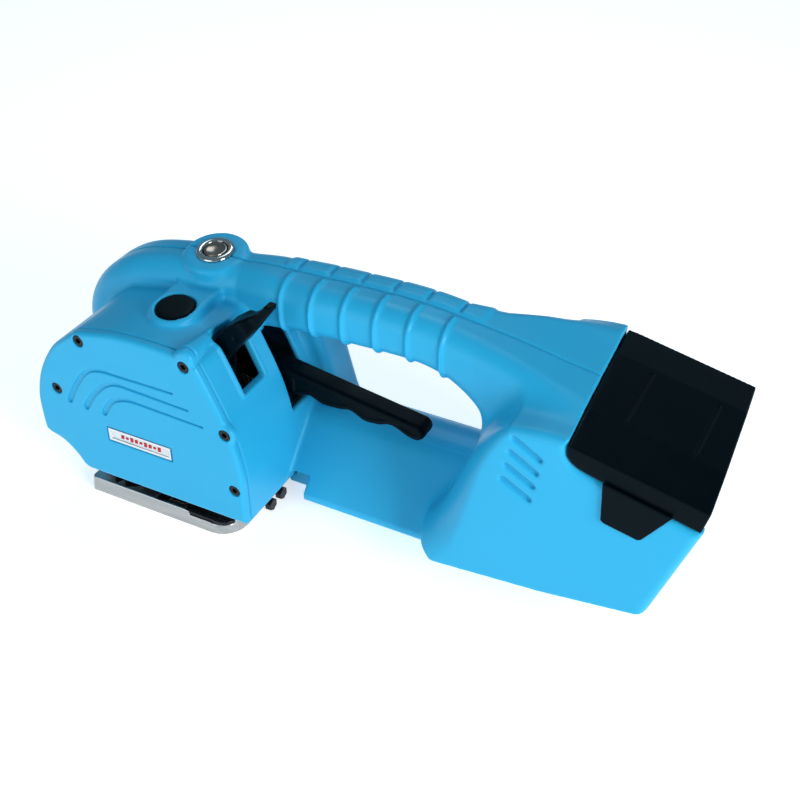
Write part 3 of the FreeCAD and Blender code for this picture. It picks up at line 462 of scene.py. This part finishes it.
def make_far_cover():
    """Far side cover, a smaller plate with a rolled rim."""
    field = Field((-60, 42, 18), (44, 49, 66), 0.5 if FULL else 1.2)
    x, y, z = field.x, field.y, field.z
    plate = np.maximum(meet(outline(FAR_OUTLINE, x, z), y - 46.95, 1.6), 44.15 - y)
    for place in FAR_SCREWS:
        plate = carve(plate, np.maximum(disc(x, z, place, 3.0), 44.05 - y), 0.3)
    for index in range(5):
        cut = bar(x, z, (-34 + 9 * index, 32), (-28 + 9 * index, 52), 1.4)
        plate = carve(plate, np.maximum(cut, 46.1 - y), 0.3)
    place_piece(mesh_of("far_cover_shell", field, plate), "root", "blue_shell", "far_cover")


def make_label():
    """Aluminium plate in a raised frame, with plain red bars where wording would be."""
    field = Field((-28.5, -62, 39.5), (10.5, -59.5, 50), 0.2 if FULL else 0.5)
    x, y, z = field.x, field.y, field.z
    face = box_field(x, z, (-26.7, 41.2), (8.7, 48.3))
    plate = meet(face, across(y, -60.6, 0.8), 0.3)
    inner = box_field(x, z, (-25.1, 42.7), (7.1, 46.8))
    plate = carve(plate, np.maximum(inner, y + 60.7), 0.15)
    place_piece(mesh_of("label_relief", field, plate), "root", "label_alloy", "label_plate")
    marks = None
    for index in range(9):
        half_height = (0.9, 0.55, 1.2)[index % 3]
        left = -19.6 + 2.6 * index
        mark = box_field(x, z, (left, 44.9 - half_height), (left + 1.5, 44.9 + half_height))
        marks = mark if marks is None else np.minimum(marks, mark)
    marks = np.maximum(marks, across(y, -60.75, 0.32))
    place_piece(mesh_of("label_marks", field, marks), "root", "label_alloy", None, "mark_red")


def make_base_plate():
    """Ground steel base plate with rounded, chamfered edges and the strap path's pockets."""
    field = Field((-49.5, -60, -1), (38.5, 42, 10), 0.45 if FULL else 1.2)
    x, y, z = field.x, field.y, field.z
    corners = ([(-47.7, -56), (-45.7, -58)] + arc((24, -45.3), 12.7, range(-90, 1, 15))
               + [(36.7, 34), (30.7, 40), (-42, 40), (-47.7, 34)])
    plan = outline(corners, x, y)
    lip = 1.6 + 1.6 * step_between(x, 20, 32)
    drafted = (plan + 0.12 * z) * 0.99
    plate = np.maximum(np.maximum(meet(plan, z - 8, lip), -z), drafted)
    for pocket in (anvil_plan(x, y), slot_plan(x, y), feed_plan(x, y)):
        plate = carve(plate, np.maximum(pocket - 0.2, 5.4 - z), 0.3)
    place_piece(mesh_of("base_plate_ground", field, plate), "root", "bright_steel", "base_plate")


def anvil_plan(x, y):
    """Weld anvil from above: its near edge ends in two slanting noses."""
    corners = [(-44, -33), (-44, -50), (-38, -50), (-32.5, -55.5), (-30, -50.5), (-26.6, -56), (-17, -50),
               (-17, -33)]
    return outline(corners, x, y)


def slot_plan(x, y):
    """Strap guide insert from above."""
    return np.minimum(box_field(x, y, (-8.5, -56), (-2.5, -46)), box_field(x, y, (-1.5, -53), (6.5, -46)))


def feed_plan(x, y):
    """Feed anvil from above, with round near corners."""
    return meet(np.abs(x - 20.5) - 13, np.abs(y + 45) - 11.8, 5)


def make_anvils():
    """Black inserts in the base plate: weld anvil and the feed anvil with its fine teeth."""
    field = Field((-46, -58.5, 4.5), (36, -31, 9.5), 0.35 if FULL else 0.8)
    x, y, z = field.x, field.y, field.z
    tooth_top = 8.2
    rows = 0.5 * np.abs(np.sin((x - 16) * math.pi / 1.8))
    columns = 0.3 * np.abs(np.sin((y + 40) * math.pi / 2.2))
    feed = np.maximum(meet(feed_plan(x, y), z - tooth_top + rows + columns, 0.3), 5.6 - z)
    place_piece(mesh_of("feed_anvil_toothed", field, feed), "root", "dark_steel", "feed_anvil")
    weld = np.maximum(meet(np.minimum(anvil_plan(x, y), slot_plan(x, y)), z - 7.6, 0.3), 5.6 - z)
    place_piece(mesh_of("weld_anvil_ground", field, weld), "root", "dark_steel", "weld_anvil")


LEVER_OUTLINE = (
    [(8, 64.5), (13, 77), (24, 75.6), (42.4, 72.3), (110.9, 61.9)]
    + through([(111.4, 61.6), (113.3, 59.6), (113.2, 56.4), (110.6, 53.8), (107.6, 53.6), (104.4, 54.5),
               (96.7, 57.6), (90, 55.8), (82.7, 55.5), (75.6, 58.7), (69.6, 57.7), (60.5, 57.5), (54.2, 60),
               (49.1, 58.6), (41.4, 57.1)])
    + [(30, 58.4), (18, 61)]
)


def make_tension_lever():
    """Black hand lever with finger scallops and a hollowed side."""
    field = Field((5, -14, 50), (116, 2, 80), 0.42 if FULL else 1.1)
    x, y, z = field.x, field.y, field.z
    flat = outline(LEVER_OUTLINE, x, z)
    lever = meet(flat, across(y, LEVER_MIDDLE, 5.9), 2.6)
    hollow = np.maximum(np.maximum(flat + 3.4, 46 - x), y + 11.2)
    lever = carve(lever, hollow, 0.5)
    place_piece(mesh_of("tension_lever_moulded", field, lever), "rocker", "black_plastic", "tension_lever")


PADDLE_OUTLINE = [(20.4, 84.8), (26.5, 86.0), (32.6, 94.6), (36.4, 98.8), (40.6, 104.6), (52.4, 120.2),
                  (52.6, 122.5), (49.4, 122.6), (45, 117.4), (41, 114.9), (36, 112.5), (29.6, 107.6),
                  (20.8, 96)]


def make_weld_lever():
    """Black weld lever: a broad body in its slot and a thick finger stick."""
    field = Field((15, -42.5, 80), (56, -23, 125), 0.32 if FULL else 0.9)
    x, y, z = field.x, field.y, field.z
    flat = outline(PADDLE_OUTLINE, x, z)
    half = 6.6 - 3.4 * step_between(x + z, 148, 158)
    lever = meet(flat, across(y, WELD_LEVER_MIDDLE, half), 1.5)
    bore = np.maximum(disc(x, z, (23, 89), 2.4), across(y, WELD_LEVER_MIDDLE, 9))
    lever = np.maximum(lever, -bore)
    recess = np.maximum(disc(x, z, (35.6, 104.6), 1.5), y + 39.4)
    lever = carve(lever, recess, 0.25)
    place_piece(mesh_of("weld_lever_moulded", field, lever), "weld_lever_body", "black_plastic", "weld_lever")


def make_buttons():
    """Chromed bezel with a dished cap, and the flat black weld button."""
    ring = [(5.95, -9), (5.95, -0.7), (6.2, -0.35), (7.1, 0), (8.1, -0.1), (8.8, -0.6), (9, -1.1), (9, -1.45),
            (8.9, -1.6), (8.05, -1.62), (8.05, -9)]
    bezel = turned("button_bezel_turned", ring, TENSION_BUTTON, LEAN, True)
    place_piece(bezel, "root", "button_chrome", "button_bezel")
    dish = [(0, -1.5), (2.4, -1.35), (4.1, -0.95), (4.6, -0.7), (4.9, -0.35), (5.3, -0.4), (5.55, -0.8),
            (5.6, -1.4), (5.6, -5.5), (0, -5.5)]
    cap = turned("tension_button_cap", dish, TENSION_BUTTON, LEAN)
    place_piece(cap, "tension_button_body", "button_chrome", "tension_button", "button_cap")
    flat = [(0, 0.05), (5.6, 0.02), (7.9, -0.08), (8.7, -0.3), (9.05, -0.75), (9.1, -1.3), (9.1, -6.5),
            (0, -6.5)]
    weld = turned("weld_button_cap", flat, WELD_BUTTON, LEAN)
    place_piece(weld, "weld_button_body", "black_plastic", "weld_button")


def make_battery():
    """Battery lid with its sloping shoulders, and the two side latches."""
    field = Field((186, -47, 66), (256, 47, 112), 0.5 if FULL else 1.3)
    y = field.y
    along, rise = downhill(field)
    sunk = rise + LID_FALL * np.maximum(along, 0)
    crown = outline([(-43.9, -14), (-43.9, 2.4), (-21, 4.9), (21, 4.9), (43.9, 2.4), (43.9, -14)], y, sunk)
    lid = meet(lid_side(field, along, rise), crown, 0.8)
    lid = meet(lid, along - LID_LENGTH, 0.8)
    for place in (14, 44):
        crease = bar(y, along, (-17, place), (17, place), 0.7)
        lid = carve(lid, np.maximum(crease, 4.3 - sunk), 0.3)
    place_piece(mesh_of("battery_lid_moulded", field, lid), "battery", "black_plastic", "battery_lid")
    for label, side in (("latch_near", -1), ("latch_far", 1)):
        inner, outer = sorted((41 * side, 48 * side))
        reach = Field((203, inner, 64), (240, outer, 100), 0.4 if FULL else 1.0)
        depth = reach.y * side
        slide, up = downhill(reach)
        plan = outline([(16.9, -7.2), (20.6, -25.6), (22, -26.6), (36.9, -27.6), (38.2, -26.6), (46.6, -9.4)],
                       slide, up)
        tab = meet(plan, across(depth, 44.85, 0.62), 0.4)
        place_piece(mesh_of(label + "_tab", reach, tab), label + "_body", "black_plastic", label)


# ------------------------------------------------------------------ materials
MATERIALS = {}


def paint(piece, name):
    """Gives a piece one material."""
    piece.data.materials.clear()
    piece.data.materials.append(MATERIALS[name])


def node_material(name):
    """A new node material, kept by name."""
    material = bpy.data.materials.new(name)
    material.use_nodes = True
    tree = material.node_tree
    shader = tree.nodes["Principled BSDF"]
    MATERIALS[name] = material
    return tree, shader


def noise(tree, scale, detail=4.0):
    """Noise in the piece's own space, so that it moves with the piece."""
    place = tree.nodes.new("ShaderNodeTexCoord")
    texture = tree.nodes.new("ShaderNodeTexNoise")
    texture.inputs["Scale"].default_value = scale
    texture.inputs["Detail"].default_value = detail
    texture.inputs["Roughness"].default_value = 0.55
    tree.links.new(place.outputs["Object"], texture.inputs["Vector"])
    return texture.outputs["Fac"]


def ramp(tree, source, low, high, start=0.0, end=1.0):
    """Maps a value from one range to another."""
    node = tree.nodes.new("ShaderNodeMapRange")
    node.inputs["From Min"].default_value = start
    node.inputs["From Max"].default_value = end
    node.inputs["To Min"].default_value = low
    node.inputs["To Max"].default_value = high
    tree.links.new(source, node.inputs["Value"])
    return node.outputs["Result"]


def bumps(tree, shader, source, strength, distance):
    """Surface grain from a value."""
    node = tree.nodes.new("ShaderNodeBump")
    node.inputs["Strength"].default_value = strength
    node.inputs["Distance"].default_value = distance
    tree.links.new(source, node.inputs["Height"])
    tree.links.new(node.outputs["Normal"], shader.inputs["Normal"])


def tint(tree, shader, source, dark, light):
    """Base colour between two shades."""
    node = tree.nodes.new("ShaderNodeMix")
    node.data_type = "RGBA"
    node.inputs["A"].default_value = (*dark, 1)
    node.inputs["B"].default_value = (*light, 1)
    tree.links.new(source, node.inputs["Factor"])
    tree.links.new(node.outputs["Result"], shader.inputs["Base Color"])


def moulded(name, dark, light, rough, grain, shine=0.3):
    """Moulded plastic: slight colour drift, uneven gloss and a fine grain."""
    tree, shader = node_material(name)
    tint(tree, shader, noise(tree, 18), dark, light)
    shader.inputs["Specular IOR Level"].default_value = shine
    shader.inputs["Specular Tint"].default_value = (0.55, 0.85, 1.0, 1)
    tree.links.new(ramp(tree, noise(tree, 60), rough[0], rough[1], 0.3, 0.7), shader.inputs["Roughness"])
    bumps(tree, shader, noise(tree, 2600, 2.0), grain, 0.00012)


def metal(name, dark, light, rough, grain, stretch=(1, 1, 1)):
    """Machined metal: brushed streaks along one axis."""
    tree, shader = node_material(name)
    shader.inputs["Metallic"].default_value = 1.0
    place = tree.nodes.new("ShaderNodeTexCoord")
    mapping = tree.nodes.new("ShaderNodeMapping")
    mapping.inputs["Scale"].default_value = stretch
    texture = tree.nodes.new("ShaderNodeTexNoise")
    texture.inputs["Scale"].default_value = 900
    texture.inputs["Detail"].default_value = 5
    tree.links.new(place.outputs["Object"], mapping.inputs["Vector"])
    tree.links.new(mapping.outputs["Vector"], texture.inputs["Vector"])
    tint(tree, shader, texture.outputs["Fac"], dark, light)
    gloss = ramp(tree, texture.outputs["Fac"], rough[0], rough[1], 0.3, 0.7)
    tree.links.new(gloss, shader.inputs["Roughness"])
    bumps(tree, shader, texture.outputs["Fac"], grain, 0.00008)


def make_materials():
    """Every material, named after the record's slots, with two more for the marks and the button cap."""
    moulded("blue_shell", (0.019, 0.35, 0.6), (0.024, 0.38, 0.65), (0.3, 0.42), 0.4)
    moulded("black_plastic", (0.0003, 0.0018, 0.003), (0.0006, 0.003, 0.0048), (0.3, 0.48), 0.3, 0.07)
    moulded("mark_red", (0.42, 0.01, 0.012), (0.5, 0.015, 0.018), (0.4, 0.5), 0.1)
    moulded("belt_rubber", (0.01, 0.01, 0.01), (0.02, 0.02, 0.02), (0.7, 0.85), 0.5)
    moulded("board_green", (0.01, 0.12, 0.05), (0.02, 0.2, 0.09), (0.3, 0.5), 0.2)
    moulded("cell_wrap", (0.03, 0.24, 0.16), (0.05, 0.32, 0.2), (0.3, 0.45), 0.1)
    metal("bright_steel", (0.3, 0.3, 0.295), (0.54, 0.535, 0.52), (0.22, 0.4), 0.4, (0.05, 1, 1))
    metal("dark_steel", (0.02, 0.02, 0.022), (0.05, 0.05, 0.052), (0.35, 0.5), 0.2)
    metal("button_cap", (0.2, 0.16, 0.13), (0.3, 0.25, 0.21), (0.18, 0.26), 0.1)
    metal("button_chrome", (0.4, 0.39, 0.37), (0.52, 0.51, 0.49), (0.06, 0.14), 0.1)
    metal("cast_alloy", (0.5, 0.51, 0.52), (0.62, 0.63, 0.64), (0.4, 0.6), 0.5)
    metal("motor_zinc", (0.45, 0.46, 0.48), (0.6, 0.61, 0.63), (0.25, 0.4), 0.2, (0.05, 1, 1))
    metal("contact_brass", (0.65, 0.5, 0.2), (0.8, 0.65, 0.32), (0.2, 0.35), 0.2)
    metal("label_alloy", (0.62, 0.63, 0.64), (0.78, 0.79, 0.8), (0.25, 0.4), 0.3, (0.04, 1, 1))


def dress_cad_nodes():
    """Every CAD node takes its record slot's material."""
    for part in frame["record"]["subparts"]:
        node = frame["nodes"].get(part["node"])
        if node is not None:
            for slot in node.material_slots:
                slot.material = MATERIALS[part["material_slot"]]


# ------------------------------------------------------------------ stage
def make_stage():
    """Pale floor, soft world light and three soft lamps."""
    floor_mesh = bpy.data.meshes.new("floor")
    floor_mesh.from_pydata([(-3, -3, 0), (3, -3, 0), (3, 5, 0), (-3, 5, 0)], [], [(0, 1, 2, 3)])
    floor = bpy.data.objects.new("floor", floor_mesh)
    bpy.context.collection.objects.link(floor)
    tree, shader = node_material("floor_paper")
    tint(tree, shader, noise(tree, 3), (0.88, 0.88, 0.88), (0.9, 0.9, 0.9))
    shader.inputs["Roughness"].default_value = 0.8
    shader.inputs["Emission Color"].default_value = (1, 1, 1, 1)
    shader.inputs["Emission Strength"].default_value = 0.58
    paint(floor, "floor_paper")
    world = bpy.data.worlds.new("studio")
    world.use_nodes = True
    sky = world.node_tree.nodes["Background"]
    sky.inputs["Color"].default_value = (0.5, 0.8, 1, 1)
    sky.inputs["Strength"].default_value = 0.34
    bpy.context.scene.world = world
    bpy.context.scene.view_settings.view_transform = "Standard"
    lamp("key", (1.15, -0.5, 0.48), 0.5, 13.5, (1, 1, 1))
    lamp("fill", (-0.35, -1.05, 0.35), 0.8, 4.4, (1, 1, 1))
    lamp("top", (-0.3, 0.6, 1.0), 0.5, 2.8, (0.8, 0.93, 1))


def lamp(name, place, size, power, colour):
    """A square soft lamp aimed at the tool."""
    light = bpy.data.lights.new(name, "AREA")
    light.size = size
    light.energy = power
    light.color = colour
    holder = bpy.data.objects.new(name, light)
    holder.location = place
    holder.rotation_euler = (Vector((0, 0, 0.05)) - Vector(place)).to_track_quat("-Z", "Y").to_euler()
    bpy.context.collection.objects.link(holder)


CAMERA_AZIMUTH = math.radians(27)
CAMERA_HEIGHT = math.radians(36.7)
CAMERA_PLACE = (0.3014, -0.4037, 0.4027)


def make_camera():
    """The camera, at the tool's near side and above it."""
    data = bpy.data.cameras.new("camera")
    data.lens = 55.35
    data.sensor_width = 36
    camera = bpy.data.objects.new("camera", data)
    camera.location = Vector(CAMERA_PLACE) + ORIGIN
    look = Vector((-math.sin(CAMERA_AZIMUTH) * math.cos(CAMERA_HEIGHT),
                   math.cos(CAMERA_AZIMUTH) * math.cos(CAMERA_HEIGHT), -math.sin(CAMERA_HEIGHT)))
    camera.rotation_euler = look.to_track_quat("-Z", "Y").to_euler()
    bpy.context.collection.objects.link(camera)
    bpy.context.scene.camera = camera


make_camera()
make_stage()
make_materials()
dress_cad_nodes()
make_housing()
make_gear_cover()
make_far_cover()
make_label()
make_base_plate()
make_anvils()
make_tension_lever()
make_weld_lever()
make_buttons()
make_battery()
